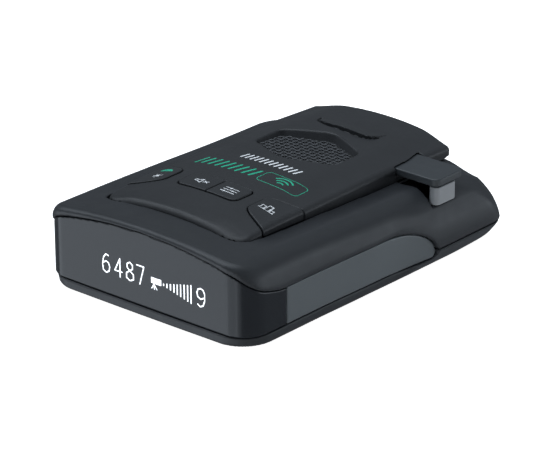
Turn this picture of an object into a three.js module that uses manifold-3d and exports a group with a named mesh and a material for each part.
// Windscreen radar detector: a two-part body with a smoked display window and side trims, a raised
// control panel with four keys and a speaker grille, a sprung release lever for the windscreen
// bracket, and the electronics inside.
//
// Millimetres. X runs across the body, Y from the display end (front) to the windscreen end (rear),
// Z up. Y is measured from the face of the display window, and the finished group is moved so that
// its origin lies under the middle of the body, on the surface the body stands on.
import * as THREE from "three";
import { mergeVertices } from "three/addons/utils/BufferGeometryUtils.js";
import Module from "manifold-3d";

const wasm = await Module();
wasm.setup();

// Driving dimensions.
const GAP = 0.3; // clearance between pieces that touch
const BODY_LENGTH = 103; // display face to rear end
const LIP = 0.6; // how far the top cover stands past the display face
const FRONT_HALF = 35; // half width at the display
const REAR_HALF = 38.6; // half width at the rear
const FLARE_START = 56; // where the sides start to widen
const FLARE_END = 75;
const FRONT_RADIUS = 7.2; // plan radius of the front corners
const REAR_RADIUS = 10;
const COVER_TOP = 24.8; // top cover's surface at the front of the centre line
const COVER_CROWN = 0.0025; // its fall to the sides, per square millimetre of x
const BED_CROWN = 0.0038; // the same for the panel's bed and the space inside
const PARTING = 5.3; // height of the joint between the covers
const OUTER_WALL = 3.4; // side wall, with the pocket for the trims in it
const SKIN = 2; // top wall and floor
const WINDOW_FOOT = 3;
const WINDOW_TOP = 23.16;
const WINDOW_THICKNESS = 1.8;
const WINDOW_END = 15.4; // where the window meets the side trims
const TRIM_TOP = 13.1;
const TRIM_TIP = 72.7;
const TRIM_THICKNESS = 1.2;
const PANEL_HALF = 23.6; // half width of the raised control panel
const PANEL_CROWN = 0.0034;
const SEAT_DEPTH = 1; // how deep the panel's seat is cut into the cover
const KEY_TRAVEL = 0.5;
const KEY_LIFT = KEY_TRAVEL + 0.4; // height of a key above its seat
const KEY_BOARD_Z = 16.9;
const MAIN_BOARD_Z = 11.2;
const BOARD_THICKNESS = 1.2;
const LEVER_TRAVEL = 2;
const LEVER_FLOOR = 22.2;
const LEVER_TOP = 24.3;
const SLOT_HALF = 10.2; // half width of the bracket slot
const SLOT_FLOOR = 22.4;
const SLOT_ROOF = 25.3;
const SLOT_END = 79; // the slot runs from here out of the rear
const FAR = 60; // past the body on every side

// Solids. Every tool shape is a three.js geometry, joined and cut as a closed mesh.

function solid(geometry) {
  const shape = geometry.index ? geometry.toNonIndexed() : geometry.clone();
  shape.deleteAttribute("normal");
  shape.deleteAttribute("uv");
  const merged = mergeVertices(shape, 1e-4);
  return new wasm.Manifold(
    new wasm.Mesh({
      numProp: 3,
      vertProperties: new Float32Array(merged.attributes.position.array),
      triVerts: new Uint32Array(merged.index.array),
    }),
  );
}

function extrusion(points, depth, steps = 1, holes = []) {
  const shape = new THREE.Shape(points.map(([u, v]) => new THREE.Vector2(u, v)));
  for (const hole of holes) {
    shape.holes.push(new THREE.Path(hole.map(([u, v]) => new THREE.Vector2(u, v))));
  }
  return new THREE.ExtrudeGeometry(shape, { depth, steps, bevelEnabled: false });
}

// Plan outline [x, y], raised from z0 to z1.
function plan(points, z0, z1, holes = []) {
  return solid(extrusion(points, z1 - z0, 1, holes).translate(0, 0, z0));
}

// Cross-section [x, z], swept from y0 to y1.
function section(points, y0, y1) {
  return solid(extrusion(points, y1 - y0).rotateX(Math.PI / 2).translate(0, y1, 0));
}

const SIDEWAYS = new THREE.Matrix4().makeBasis(
  new THREE.Vector3(0, 1, 0),
  new THREE.Vector3(0, 0, 1),
  new THREE.Vector3(1, 0, 0),
);

// Side profile [y, z], swept from x0 to x1.
function profile(points, x0, x1) {
  return solid(extrusion(points, x1 - x0).applyMatrix4(SIDEWAYS).translate(x0, 0, 0));
}

// Side profile [y, z] across the whole body, falling towards the sides with the square of x.
function crowned(points, crown, half = 42, steps = 14) {
  const geometry = extrusion(points, 2 * half, steps).applyMatrix4(SIDEWAYS).translate(-half, 0, 0);
  const position = geometry.attributes.position;
  for (let i = 0; i < position.count; i++) {
    position.setZ(i, position.getZ(i) - crown * position.getX(i) ** 2);
  }
  return solid(geometry);
}

function block(x0, x1, y0, y1, z0, z1) {
  return solid(
    new THREE.BoxGeometry(x1 - x0, y1 - y0, z1 - z0).translate(
      (x0 + x1) / 2,
      (y0 + y1) / 2,
      (z0 + z1) / 2,
    ),
  );
}

// Upright round bar or disc.
function post(x, y, radius, z0, z1, sides = 24) {
  const geometry = new THREE.CylinderGeometry(radius, radius, z1 - z0, sides);
  return solid(geometry.rotateX(Math.PI / 2).translate(x, y, (z0 + z1) / 2));
}

// Round bar along X or Y.
function barX(y, z, radius, x0, x1, sides = 24) {
  const geometry = new THREE.CylinderGeometry(radius, radius, x1 - x0, sides);
  return solid(geometry.rotateZ(Math.PI / 2).translate((x0 + x1) / 2, y, z));
}

function barY(x, z, radius, y0, y1, sides = 24) {
  const geometry = new THREE.CylinderGeometry(radius, radius, y1 - y0, sides);
  return solid(geometry.translate(x, (y0 + y1) / 2, z));
}

// Block whose cross-section grows from its front end to its rear end.
function funnel(y0, y1, front, rear, middleZ) {
  const geometry = new THREE.BoxGeometry(2, y1 - y0, 2).translate(0, (y0 + y1) / 2, 0);
  const position = geometry.attributes.position;
  for (let i = 0; i < position.count; i++) {
    const [halfX, halfZ] = position.getY(i) > (y0 + y1) / 2 ? rear : front;
    position.setX(i, position.getX(i) * halfX);
    position.setZ(i, position.getZ(i) * halfZ + middleZ);
  }
  return solid(geometry);
}

// Outlines.

function arc(centreX, centreY, radiusX, radiusY, from, to, steps = 8) {
  return Array.from({ length: steps + 1 }, (_, i) => {
    const angle = THREE.MathUtils.degToRad(from + ((to - from) * i) / steps);
    return [centreX + radiusX * Math.cos(angle), centreY + radiusY * Math.sin(angle)];
  });
}

function roundedBox(x0, x1, y0, y1, r, steps = 5) {
  return [
    ...arc(x1 - r, y0 + r, r, r, -90, 0, steps),
    ...arc(x1 - r, y1 - r, r, r, 0, 90, steps),
    ...arc(x0 + r, y1 - r, r, r, 90, 180, steps),
    ...arc(x0 + r, y0 + r, r, r, 180, 270, steps),
  ];
}

const flipped = (points) => points.map(([x, y]) => [-x, y]).reverse();

// A right-hand half from the front centre to the rear centre, made whole.
const whole = (half) => [...half, ...flipped(half).filter(([x]) => x < -1e-6)];

function distanceToOutline([x, y], points) {
  const spot = new THREE.Vector3(x, y, 0);
  const near = new THREE.Vector3();
  return Math.min(
    ...points.map(([ax, ay], i) => {
      const [bx, by] = points[(i + 1) % points.length];
      const edge = new THREE.Line3(new THREE.Vector3(ax, ay, 0), new THREE.Vector3(bx, by, 0));
      return edge.closestPointToPoint(spot, true, near).distanceTo(spot);
    }),
  );
}

// The outline moved inwards by d, or outwards where d is negative. Corners that the move would turn
// inside out are left out.
function inset(points, d) {
  const turn = THREE.ShapeUtils.isClockWise(points.map(([x, y]) => new THREE.Vector2(x, y))) ? -1 : 1;
  const moved = points.map(([x, y], i) => {
    const [px, py] = points.at(i - 1);
    const [nx, ny] = points[(i + 1) % points.length];
    const before = new THREE.Vector2(x - px, y - py).normalize();
    const after = new THREE.Vector2(nx - x, ny - y).normalize();
    const normal = new THREE.Vector2(-before.y - after.y, before.x + after.x).normalize();
    const reach = (d * turn) / Math.max(0.4, normal.dot(new THREE.Vector2(-before.y, before.x)));
    return [x + normal.x * reach, y + normal.y * reach];
  });
  return moved.filter((point) => distanceToOutline(point, points) > Math.abs(d) - 0.02);
}

const smooth = (t) => t * t * (3 - 2 * t);
const spaced = (from, to, n) => Array.from({ length: n + 1 }, (_, i) => from + ((to - from) * i) / n);

// Half width of the body's skin at y.
function sideX(y) {
  const slight = 0.6 * Math.max(0, Math.min(1, (y - 29) / (FLARE_START - 29)));
  const t = Math.max(0, Math.min(1, (y - FLARE_START) / (FLARE_END - FLARE_START)));
  return FRONT_HALF + slight + (REAR_HALF - FRONT_HALF - 0.6) * smooth(t);
}

// Half width of the side trims' face at y: it bends outwards less than the skin around it.
function trimX(y) {
  const start = FLARE_START - 1;
  return y < start ? sideX(y) : sideX(start) + 1.35 * ((y - start) / (TRIM_TIP - start)) ** 1.15;
}

// Plan outline of the body, moved out at the front and the sides.
function bodyOutline(frontOut = 0, sideOut = 0) {
  const corner = FRONT_HALF - FRONT_RADIUS;
  const rearCorner = REAR_HALF - REAR_RADIUS;
  const rearY = BODY_LENGTH - 0.2 - REAR_RADIUS;
  return whole([
    [0, -frontOut],
    ...arc(corner, FRONT_RADIUS, FRONT_RADIUS + sideOut, FRONT_RADIUS + frontOut, -90, 0),
    ...spaced(29, FLARE_START, 2).map((y) => [sideX(y) + sideOut, y]),
    ...spaced(FLARE_START + 2, FLARE_END, 8).map((y) => [sideX(y) + (y < 66 ? sideOut / 2 : 0), y]),
    ...arc(rearCorner, rearY, REAR_RADIUS, REAR_RADIUS, 0, 90),
    [0, BODY_LENGTH],
  ]);
}

// Cross-section of the body: flat underside, rounded lower edge, sloping flank and shoulder.
const FLANK = whole([
  [0, 0],
  [34.4, 0],
  [35.3, 0.8],
  [35.8, 1.5],
  [36.6, 2.9],
  [38, 4.6],
  [REAR_HALF, PARTING],
  [38.3, 8],
  [37.8, 10.5],
  [36.8, 13.9],
  [35.9, 16],
  [35.4, 18.1],
  [35.1, 19.4],
  [34.6, 20.4],
  [33.9, 21.1],
  [33, 21.7],
  [31.8, 22.15],
  [30, 22.7],
  [27, 23.7],
  [0, 30],
]);

// Side profiles of the top and the sloping rear, before the crown is added: of the panel's bed and
// the space inside, and of the cover's visible surface, which falls to the rear.
const BED_REAR = [
  [93, COVER_TOP],
  [95.5, 24.3],
  [97.2, 22.8],
  [98.6, 18.6],
  [100.3, 13],
  [101.8, 8.5],
  [BODY_LENGTH, PARTING],
];
const COVER_LINE = [
  [-LIP, 23.9],
  [-0.3, 24.5],
  [0.5, COVER_TOP],
  [3, COVER_TOP],
  [20, 24.6],
  [40, 24.1],
  [60, 23.4],
  [70, 23.2],
  [92, 23.1],
  [95.5, 22.6],
  [97.2, 21.6],
  ...BED_REAR.slice(3),
];
const BED_LINE = [[-LIP, COVER_TOP], ...BED_REAR];
const bodyProfile = (line) => [[-LIP, -20], ...line, [BODY_LENGTH, -20]];

// Side profile of the underside.
const KEEL_PROFILE = [
  [-LIP, FAR],
  [-LIP, 2.2],
  [0, 2],
  [0.5, 0.8],
  [1.8, 0],
  [98.5, 0],
  [101.2, 1.2],
  [102.6, 3.2],
  [BODY_LENGTH, PARTING],
  [BODY_LENGTH, FAR],
];

// The body's form, or the space inside it where wall and skin are given.
function bodyForm(outline, wall = 0, skin = 0) {
  const top = skin
    ? crowned(inset(bodyProfile(BED_LINE), skin), BED_CROWN)
    : crowned(bodyProfile(COVER_LINE), COVER_CROWN);
  return plan(inset(outline, wall), -1, 40)
    .intersect(top)
    .intersect(profile(inset(KEEL_PROFILE, skin), -FAR, FAR))
    .intersect(section(inset(FLANK, skin), -FAR, 2 * FAR));
}

// A node.
const detector = new THREE.Group();
detector.name = "radar_detector";

const paint = (color, roughness, metalness = 0) => ({ color, roughness, metalness });
const SHELL = paint(0x33373b, 0.55);
const PANEL = paint(0x33363a, 0.55);
const SMOKED = paint(0x24282b, 0.12);
const TRIM = paint(0x3a3f43, 0.35);
const MESH = paint(0x222427, 0.7);
const LIGHT_GREY = paint(0x8d9296, 0.5);
const DARK_PLASTIC = paint(0x1d1f21, 0.5);
const BOARD = paint(0x1f5a33, 0.5);
const STEEL = paint(0xa9adb1, 0.35, 1);
const CAST = paint(0x9a9da0, 0.5, 1);
const CERAMIC = paint(0xc9bfa5, 0.6);
const PAPER = paint(0x2a2a2c, 0.8);
const GLASS = paint(0x401418, 0.08);
const LABEL = paint(0xb7babd, 0.6);

function add(name, shape, finish) {
  const { vertProperties, triVerts, numProp } = shape.getMesh();
  const position = new Float32Array((vertProperties.length / numProp) * 3);
  for (let i = 0; i < position.length / 3; i++) {
    position.set(vertProperties.subarray(i * numProp, i * numProp + 3), i * 3);
  }
  const geometry = new THREE.BufferGeometry();
  geometry.setAttribute("position", new THREE.BufferAttribute(position, 3));
  geometry.setIndex(new THREE.BufferAttribute(new Uint32Array(triVerts), 1));
  const flat = geometry.toNonIndexed();
  flat.computeVertexNormals();
  const mesh = new THREE.Mesh(flat, new THREE.MeshStandardMaterial(finish));
  mesh.name = name;
  detector.add(mesh);
}

const union = (...shapes) => shapes.reduce((all, shape) => all.add(shape));

// Where things are.
const HOUSING_SCREWS = [
  [27, 25],
  [-27, 25],
  [29.5, 88],
  [-29.5, 88],
];
const BOARD_POSTS = [
  [22, 12],
  [-22, 12],
  [24, 70],
  [-24, 70],
];
const KEY_BOARD_POSTS = [
  [11.8, 19],
  [-11.8, 19],
  [11.8, 37.5],
  [-11.8, 37.5],
];
const CORNER_KEY = [
  [14.4, 24],
  [15.4, 22.9],
  [FAR, 4.8],
  [FAR, 47.4],
  [15.5, 32.7],
  [14.4, 31.4],
];
const KEYS = [
  { name: "dim", stem: [-18.6, 27.4], cap: flipped(CORNER_KEY) },
  { name: "mute", stem: [-5, 28], cap: halfPill(-10, 0.1) },
  { name: "prog", stem: [5.25, 28], cap: halfPill(10, 0.4) },
  { name: "city", stem: [18.6, 27.4], cap: CORNER_KEY },
];
const PAIR_OPENING = roundedBox(-10 - GAP, 10 + GAP, 24 - GAP, 32 + GAP, 2.1);
const SPEAKER = [0, 64.5];
const GRILLE = [
  [0, 53.5],
  [13.5, 59],
  [13.5, 69.5],
  [0, 75.2],
  [-13.5, 69.5],
  [-13.5, 59],
];

// One of the two middle keys: rounded at the outer end x, square at the inner end.
function halfPill(outer, inner) {
  const r = 1.8;
  const side = Math.sign(outer);
  const x = Math.abs(outer);
  const half = [
    [side * inner, 24],
    ...arc(x - r, 24 + r, r, r, -90, 0, 5),
    ...arc(x - r, 32 - r, r, r, 0, 90, 5),
    [side * inner, 32],
  ];
  return half.map(([px, py]) => [side * px, py]);
}

// Raised control panel: its outline and its top profile, before the crown is added.
const PANEL_OUTLINE = whole([
  [0, 11.1],
  [10, 10.95],
  [17, 10.65],
  ...arc(PANEL_HALF - 4.5, 15.1, 4.5, 4.5, -90, 0, 6),
  [PANEL_HALF, 94.1],
  [22.9, 94.3],
  [18, 95],
  [13, 96.4],
  [0, 97.3],
]);
const PANEL_TOP = [
  [10.5, 24],
  [10.9, 24.8],
  [11.6, 25.6],
  [12.6, 26.15],
  [14.5, 26.5],
  [18, 26.8],
  [34, 27.2],
  [50, 27.5],
  [75, 27.5],
  [86, 27],
  [96, 26.65],
  [97, 26.2],
  [98, 25.4],
];

// Slab between the panel's top surface, or a height above it, and the cover's surface moved down.
function panelSlab(down, up = 0) {
  const under = [...BED_REAR.slice(0, 4)].reverse().map(([y, z]) => [y, z - down]);
  const top = PANEL_TOP.map(([y, z]) => [y, z + up]);
  const upper = crowned([[10, -20], [10, 24], ...top, [99, 24.5], [99, -20]], PANEL_CROWN);
  const lower = crowned(
    [[9, FAR], [9, COVER_TOP - down], ...under.reverse(), [100, under.at(-1)[1]], [100, FAR]],
    BED_CROWN,
  );
  return upper.intersect(lower);
}

// The release lever's opening in the panel's side, and the room that the lever moves in.
const LEVER_WIDE = { x0: 21.1, x1: 37, y0: 72.7, y1: 84.3 };
const LEVER_ARM = { end: 12, y0: 75.5, y1: 81.3, top: 23.7 };
const SPRING = { x: 16.2, y: 83.1, z: 23.25, length: 4.4 }; // beside the arm, against the wide plate
const LEVER_TIP = { x0: 33.5, x1: 36.8, y0: 73.1, y1: 81.5, z0: 16.9 };

function leverRoom() {
  const room = (x0, x1, y0, y1, z0, z1) => block(x0, x1, y0 - GAP, y1 + GAP, z0 - GAP, z1 + GAP);
  const wide = LEVER_WIDE.x0 - LEVER_TRAVEL - 0.4;
  const arm = LEVER_ARM.end - LEVER_TRAVEL - 0.4;
  const tip = LEVER_TIP.x0 - LEVER_TRAVEL - 0.5;
  return union(
    room(wide, FAR, LEVER_WIDE.y0, LEVER_WIDE.y1, LEVER_FLOOR, LEVER_TOP),
    room(arm, LEVER_WIDE.x0, LEVER_ARM.y0, LEVER_ARM.y1, LEVER_FLOOR, LEVER_ARM.top),
    room(SPRING.x - 0.6, LEVER_WIDE.x0, SPRING.y - 1.2, LEVER_WIDE.y1, LEVER_FLOOR, LEVER_TOP),
    room(tip, FAR, LEVER_TIP.y0, LEVER_TIP.y1, LEVER_TIP.z0 - 0.1, LEVER_TOP - GAP),
  );
}

// Bracket slot, open to the rear: its floor is in the cover and its roof in the panel.
const bracketSlot = () => block(-SLOT_HALF, SLOT_HALF, SLOT_END, FAR * 2, SLOT_FLOOR, SLOT_ROOF);

// Display window: a smoked strip bent round both front corners.
function windowForm(grow) {
  const shoulder = whole([
    [0, WINDOW_FOOT - grow],
    [FAR, WINDOW_FOOT - grow],
    [FAR, 12.9 + grow],
    [35.2 + grow, 13.4 + grow],
    [34.1 + grow, 16.1 + grow],
    [31 + grow, 18.9 + grow],
    ...[27.8, 20, 12].map((x) => [x, WINDOW_TOP + grow - 0.0039 * x ** 2]),
    [0, WINDOW_TOP + grow],
  ]);
  const end = [
    [-LIP, -1],
    [WINDOW_END - GAP / 2 + grow, -1],
    [WINDOW_END - GAP / 2 + grow, 13 + grow],
    [8.8, 14.2 + grow],
    [7.6, FAR],
    [-LIP, FAR],
  ];
  const inside = plan(inset(bodyOutline(), WINDOW_THICKNESS + grow), -1, 40);
  const outside = grow ? block(-FAR, FAR, -2, 30, -1, 40) : plan(bodyOutline(), -1, 40);
  return outside
    .subtract(inside)
    .intersect(section(shoulder, -FAR, FAR))
    .intersect(profile(end, -FAR, FAR));
}

// Right-hand side trim: a long strip with a rounded rear tip.
function trimForm(grow) {
  const edge = [
    [WINDOW_END + GAP / 2, WINDOW_FOOT],
    [66, WINDOW_FOOT],
    [70, 3.3],
    [72, 4.2],
    [TRIM_TIP, 5.4],
    [72.2, 6.9],
    [70.8, 8.2],
    [68.75, 9.5],
    [63.3, 11.9],
    [59, 12.8],
    [54, TRIM_TOP],
    [WINDOW_END + GAP / 2, TRIM_TOP],
  ];
  const face = spaced(WINDOW_END - 2, TRIM_TIP + 3, 24);
  const outer = face.map((y) => [grow ? FAR : trimX(y), y]);
  const inner = face.map((y) => [trimX(y) - TRIM_THICKNESS - grow, y]).reverse();
  return profile(inset(edge, -grow), 0, FAR).intersect(plan([...outer, ...inner], -1, 40));
}

const mirrored = (shape) => shape.mirror([1, 0, 0]);

function frontOpenings() {
  const glassRoom = windowForm(GAP);
  const behind = section(whole([[0, PARTING], [29, PARTING], [29, 17.6], [20, 19.5], [0, 21]]), -1, 6);
  return union(glassRoom, behind, trimForm(GAP), mirrored(trimForm(GAP)));
}

// Sockets in the body's wall: power on the left flank, data and the laser window in the rear.
const JACK = { y: 79.5, z: 10, x: -37.2, bore: 1.85, radius: 3.2 };
const DATA_PORT = { x: -25, z: 9.1, halfX: 4.2, halfZ: 1.6 };
const LASER = { x: 25, z: 11.5, radius: 4.6 };

function wallSockets() {
  const { x, z, halfX, halfZ } = DATA_PORT;
  return union(
    barX(JACK.y, JACK.z, JACK.radius + GAP, -FAR, -30),
    block(x - halfX - GAP, x + halfX + GAP, 94, FAR * 2, z - halfZ - GAP, z + halfZ + GAP),
    barY(LASER.x, LASER.z, LASER.radius + GAP, 94, FAR * 2),
  );
}

function makeTopCover() {
  const bed = plan(inset(PANEL_OUTLINE, GAP), 15, 40).intersect(crowned(bodyProfile(BED_LINE), BED_CROWN));
  const outer = bodyForm(bodyOutline(LIP, 0.3)).add(bed);
  const bosses = union(
    ...HOUSING_SCREWS.map(([x, y]) => post(x, y, 3, PARTING - 0.5, 30, 16)),
    ...KEY_BOARD_POSTS.map(([x, y]) => post(x, y, 1.8, KEY_BOARD_Z + BOARD_THICKNESS + GAP, 30, 12)),
    ...BOARD_POSTS.map(([x, y]) => post(x, y, 1.8, MAIN_BOARD_Z + BOARD_THICKNESS + GAP, 30, 12)),
    block(-13, 26, 77, 97.5, 20, 30),
    block(12, 26, 70, 97.5, 20, 30),
    block(26, 36, 71, 86, 14.5, 30),
  ).intersect(bodyForm(bodyOutline(), 1, 1));
  const pilots = union(...HOUSING_SCREWS.map(([x, y]) => post(x, y, 1.4, 0, 15, 12)));
  const seat = plan(inset(PANEL_OUTLINE, -GAP), 15, 40).intersect(panelSlab(SEAT_DEPTH, 9));
  const stems = union(...KEYS.map(({ stem }) => post(...stem, 2.2, 18, 30, 16)));
  return outer
    .subtract(bodyForm(bodyOutline(), OUTER_WALL, SKIN))
    .add(bosses)
    .intersect(block(-FAR, FAR, -FAR, 2 * FAR, PARTING + GAP / 2, 40))
    .subtract(frontOpenings())
    .subtract(wallSockets())
    .subtract(seat)
    .subtract(union(pilots, stems, plan(inset(GRILLE, -GAP), 18, 30)))
    .subtract(bracketSlot())
    .subtract(leverRoom());
}

// Vent slots, screw recesses and a shallow label recess in the underside.
function makeBottomCover() {
  const vents = union(...spaced(-12.5, 12.5, 5).map((x) => block(x - 0.7, x + 0.7, 70, 84, -1, 3)));
  const bosses = union(
    ...HOUSING_SCREWS.map(([x, y]) => post(x, y, 4, 0.2, 4.5, 20)),
    ...BOARD_POSTS.map(([x, y]) => post(x, y, 2.4, 1, MAIN_BOARD_Z - GAP, 12)),
  );
  const recesses = union(
    ...HOUSING_SCREWS.map(([x, y]) => post(x, y, 2.8, -1, 2.1, 20)),
    ...HOUSING_SCREWS.map(([x, y]) => post(x, y, 1.4, -1, 6, 12)),
    plan(roundedBox(-20, 20, 38, 60, 2, 3), -1, 0.8),
  );
  return bodyForm(bodyOutline())
    .subtract(bodyForm(bodyOutline(), OUTER_WALL, SKIN))
    .intersect(block(-FAR, FAR, -FAR, 2 * FAR, -1, PARTING - GAP / 2))
    .add(bosses)
    .subtract(frontOpenings())
    .subtract(union(vents, recesses))
    .subtract(barX(JACK.y, JACK.z, JACK.radius + GAP, -FAR, -30));
}

function makeCentrePanel() {
  const cuts = union(
    plan(PAIR_OPENING, 15, 40),
    plan(inset(CORNER_KEY, -GAP), 15, 40),
    plan(inset(flipped(CORNER_KEY), -GAP), 15, 40),
    plan(GRILLE, 15, 40),
    bracketSlot(),
    leverRoom(),
  );
  return plan(PANEL_OUTLINE, 15, 40).intersect(panelSlab(SEAT_DEPTH - GAP)).subtract(cuts);
}

// Key caps lie flush in the panel. Each has a stem through the cover and a switch plunger below it.
const STEM_FOOT = 21.2;

function makeKey({ cap, stem }) {
  return plan(cap, 15, 40)
    .intersect(plan(PANEL_OUTLINE, 15, 40))
    .intersect(panelSlab(SEAT_DEPTH - KEY_LIFT))
    .add(post(...stem, 1.7, STEM_FOOT, 24.8, 16));
}

function makeSwitch([x, y]) {
  const foot = KEY_BOARD_Z + BOARD_THICKNESS + GAP;
  return block(x - 3, x + 3, y - 3, y + 3, foot, foot + 1.9).subtract(
    post(x, y, 1.6, foot + 0.6, foot + 3, 16),
  );
}

const makePlunger = ([x, y]) => post(x, y, 1.3, 19.85, STEM_FOOT - GAP, 16);

// Round pin-holed sheet that follows a floor sinking to the rear.
function makeGrille() {
  const rim = inset(GRILLE, GAP);
  const pitch = 3.1;
  const holes = [];
  for (const row of spaced(-3, 3, 6)) {
    const shift = Math.abs(row) % 2 ? pitch / 2 : 0;
    for (const column of spaced(-4, 3, 7)) {
      const x = column * pitch + shift;
      const y = SPEAKER[1] + row * pitch * 0.866;
      const inside = Math.hypot(x, y - SPEAKER[1]) < 10.2;
      if (inside && distanceToOutline([x, y], rim) > 1.1) holes.push(arc(x, y, 0.8, 0.8, 0, 300, 5));
    }
  }
  const floor = [
    [50, 25.75],
    [78, 24.15],
    [78, 25.15],
    [50, 26.75],
  ];
  return plan(rim, 15, 40, holes).intersect(profile(floor, -FAR, FAR));
}

function revolved(points, x, y, z, sides = 32) {
  const geometry = new THREE.LatheGeometry(
    points.map(([r, h]) => new THREE.Vector2(r, h)),
    sides,
  );
  return solid(geometry.rotateX(Math.PI / 2).translate(x, y, z));
}

// Speaker: basket, cone and magnet, facing up under the grille.
function makeSpeaker() {
  const [x, y] = SPEAKER;
  const basket = [[4, 16.6], [7, 16.6], [11, 19.4], [11, 21.6], [9.4, 21.6], [9.4, 20.4], [6, 18]];
  basket.push([4, 18], basket[0]);
  const cone = [[0, 18.6], [3.2, 18.6], [8.9, 21], [8.9, 21.5], [8, 21.4], [3.4, 19.6], [0, 20.2]];
  add("speaker_frame", revolved(basket, x, y, 0), STEEL);
  add("speaker_cone", revolved(cone, x, y, 0), PAPER);
  add("speaker_magnet", post(x, y, 6.2, 13.3, 16.3, 28), STEEL);
}

function makeMainBoard() {
  const holes = [...HOUSING_SCREWS.slice(0, 2), ...BOARD_POSTS].map(([x, y], i) =>
    arc(x, y, i < 2 ? 3.4 : 1.2, i < 2 ? 3.4 : 1.2, 0, 345, 15),
  );
  const outline = roundedBox(-30.6, 30.6, 8.4, 74, 1.5, 3);
  const top = MAIN_BOARD_Z + BOARD_THICKNESS;
  add("main_board", plan(outline, MAIN_BOARD_Z, top, holes), BOARD);
  add("processor", block(-7, 7, 20, 34, top + GAP, top + 1.5), DARK_PLASTIC);
  add("gps_antenna", plan(roundedBox(-26, -8, 36.6, 54.6, 1, 2), top + GAP, top + 3.8), CERAMIC);
  add("wifi_module", block(9, 21, 42, 58, top + GAP, top + 2.6), STEEL);
  add("backup_capacitor", barY(-18.2, top + GAP + 3.2, 3.2, 57.5, 72.5), DARK_PLASTIC);
}

function makeDisplay() {
  add("display_module", block(-24, 17, 3, 5.4, 6, 18.3), DARK_PLASTIC);
  const bottom = MAIN_BOARD_Z + BOARD_THICKNESS + GAP;
  const flex = block(-8, 0, 5.7, 6, 8, bottom + 0.3).add(block(-8, 0, 5.7, 12.5, bottom, bottom + 0.3));
  add("display_flex", flex, CERAMIC);
}

// Horn antenna: a cast funnel that opens to the rear, on a closed waveguide block.
function makeAntenna() {
  const middle = 10.9;
  const horn = funnel(76.5, 95, [7.5, 4.6], [16, 7.7], middle)
    .subtract(funnel(77.8, 95.4, [5.6, 2.9], [14.8, 6.5], middle))
    .add(block(-6.5, 6.5, 60, 77, 4, 10.6));
  add("horn_antenna", horn, CAST);
  add("rf_board", block(-13, 13, 58.3, 59.7, 3.4, 10.7), BOARD);
  add("rf_shield", block(-11, 11, 51.6, 58, 3.6, 10.5), STEEL);
}

function makeSockets() {
  const { y, z, x, bore, radius } = JACK;
  const jack = barX(y, z, radius, x, -33).add(block(-33.4, -24, y - 3.9, y + 3.9, z - 3.9, z + 3.9));
  add("power_jack", jack.subtract(barX(y, z, bore, -FAR, -27)), DARK_PLASTIC);
  const { halfX, halfZ } = DATA_PORT;
  const can = (dx, dz, y0, y1) =>
    block(DATA_PORT.x - dx, DATA_PORT.x + dx, y0, y1, DATA_PORT.z - dz, DATA_PORT.z + dz);
  add("data_port", can(halfX, halfZ, 93, 100).subtract(can(halfX - 0.4, halfZ - 0.4, 94.5, 101)), STEEL);
  add("laser_window", barY(LASER.x, LASER.z, LASER.radius, 96.2, 99.2, 32), GLASS);
  add("laser_sensor", block(LASER.x - 3, LASER.x + 3, 91.6, 95.9, LASER.z - 3, LASER.z + 3), DARK_PLASTIC);
}

// Release lever: a plate through the panel's side with a light tip under its outer end. Pushed in,
// its arm moves towards the bracket slot and pushes the bracket's catch aside; a spring returns it.
function makeLever() {
  const { x0, x1, y0, y1 } = LEVER_WIDE;
  const rounded = roundedBox(x0, x1, y0, y1, 2.2, 6).filter(([x]) => x > 30);
  const wide = plan([...rounded, [x0, y1], [x0, y0]], LEVER_FLOOR, LEVER_TOP);
  const arm = block(LEVER_ARM.end, x0 + 1, LEVER_ARM.y0, LEVER_ARM.y1, LEVER_FLOOR, LEVER_ARM.top);
  add("release_lever", wide.add(arm), PANEL);
  const tip = roundedBox(LEVER_TIP.x0, LEVER_TIP.x1, LEVER_TIP.y0, LEVER_TIP.y1, 1.5, 5);
  add("release_tip", plan(tip, LEVER_TIP.z0, LEVER_FLOOR - GAP), LIGHT_GREY);
}

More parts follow.
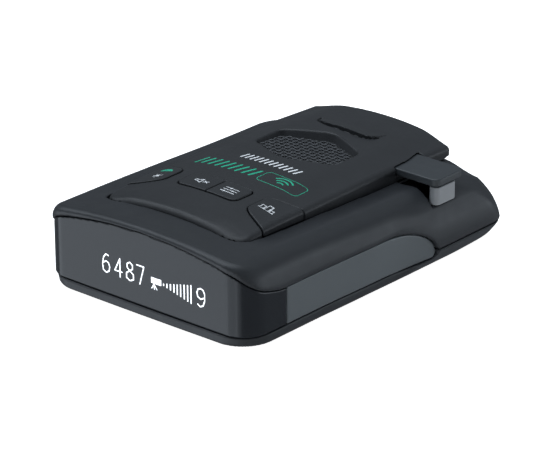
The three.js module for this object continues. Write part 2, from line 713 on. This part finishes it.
// Compression spring of the lever, along X beside the arm, from the bed to the wide plate.
class Coil extends THREE.Curve {
  constructor(radius, length, turns) {
    super();
    Object.assign(this, { radius, length, turns });
  }
  getPoint(t, target = new THREE.Vector3()) {
    const angle = 2 * Math.PI * this.turns * t;
    const { radius } = this;
    return target.set(this.length * t, radius * Math.cos(angle), radius * Math.sin(angle));
  }
}

function makeSpring() {
  const wire = new THREE.Shape(arc(0, 0, 0.2, 0.2, 0, 300, 5).map(([u, v]) => new THREE.Vector2(u, v)));
  const path = new Coil(1, SPRING.length, 4);
  const geometry = new THREE.ExtrudeGeometry(wire, { steps: 64, extrudePath: path, bevelEnabled: false });
  add("release_spring", solid(geometry.translate(SPRING.x, SPRING.y, SPRING.z)), STEEL);
}

function makeScrews() {
  HOUSING_SCREWS.forEach(([x, y], i) => {
    const cross = block(x - 1.5, x + 1.5, y - 0.3, y + 0.3, 0, 1.1).add(
      block(x - 0.3, x + 0.3, y - 1.5, y + 1.5, 0, 1.1),
    );
    const screw = post(x, y, 2.4, 0.5, 1.8, 20).add(post(x, y, 1.1, 1.5, 14, 12)).subtract(cross);
    add(`housing_screw_${i + 1}`, screw, STEEL);
  });
}

add("top_cover", makeTopCover(), SHELL);
add("bottom_cover", makeBottomCover(), SHELL);
add("display_window", windowForm(0), SMOKED);
add("side_trim_right", trimForm(0), TRIM);
add("side_trim_left", mirrored(trimForm(0)), TRIM);
add("centre_panel", makeCentrePanel(), PANEL);
add("speaker_grille", makeGrille(), MESH);
for (const key of KEYS) {
  add(`key_${key.name}`, makeKey(key), PANEL);
  add(`plunger_${key.name}`, makePlunger(key.stem), DARK_PLASTIC);
  add(`switch_${key.name}`, makeSwitch(key.stem), STEEL);
}
const keyBoard = roundedBox(-23, 23, 16.5, 40, 1.5, 3);
add("key_board", plan(keyBoard, KEY_BOARD_Z, KEY_BOARD_Z + BOARD_THICKNESS), BOARD);
makeSpeaker();
makeMainBoard();
makeDisplay();
makeAntenna();
makeSockets();
makeLever();
makeSpring();
makeScrews();
add("rating_label", plan(roundedBox(-19.6, 19.6, 38.4, 59.6, 1.6, 3), 0.15, 0.5), LABEL);

detector.position.y = -(BODY_LENGTH - LIP) / 2;

export default detector;
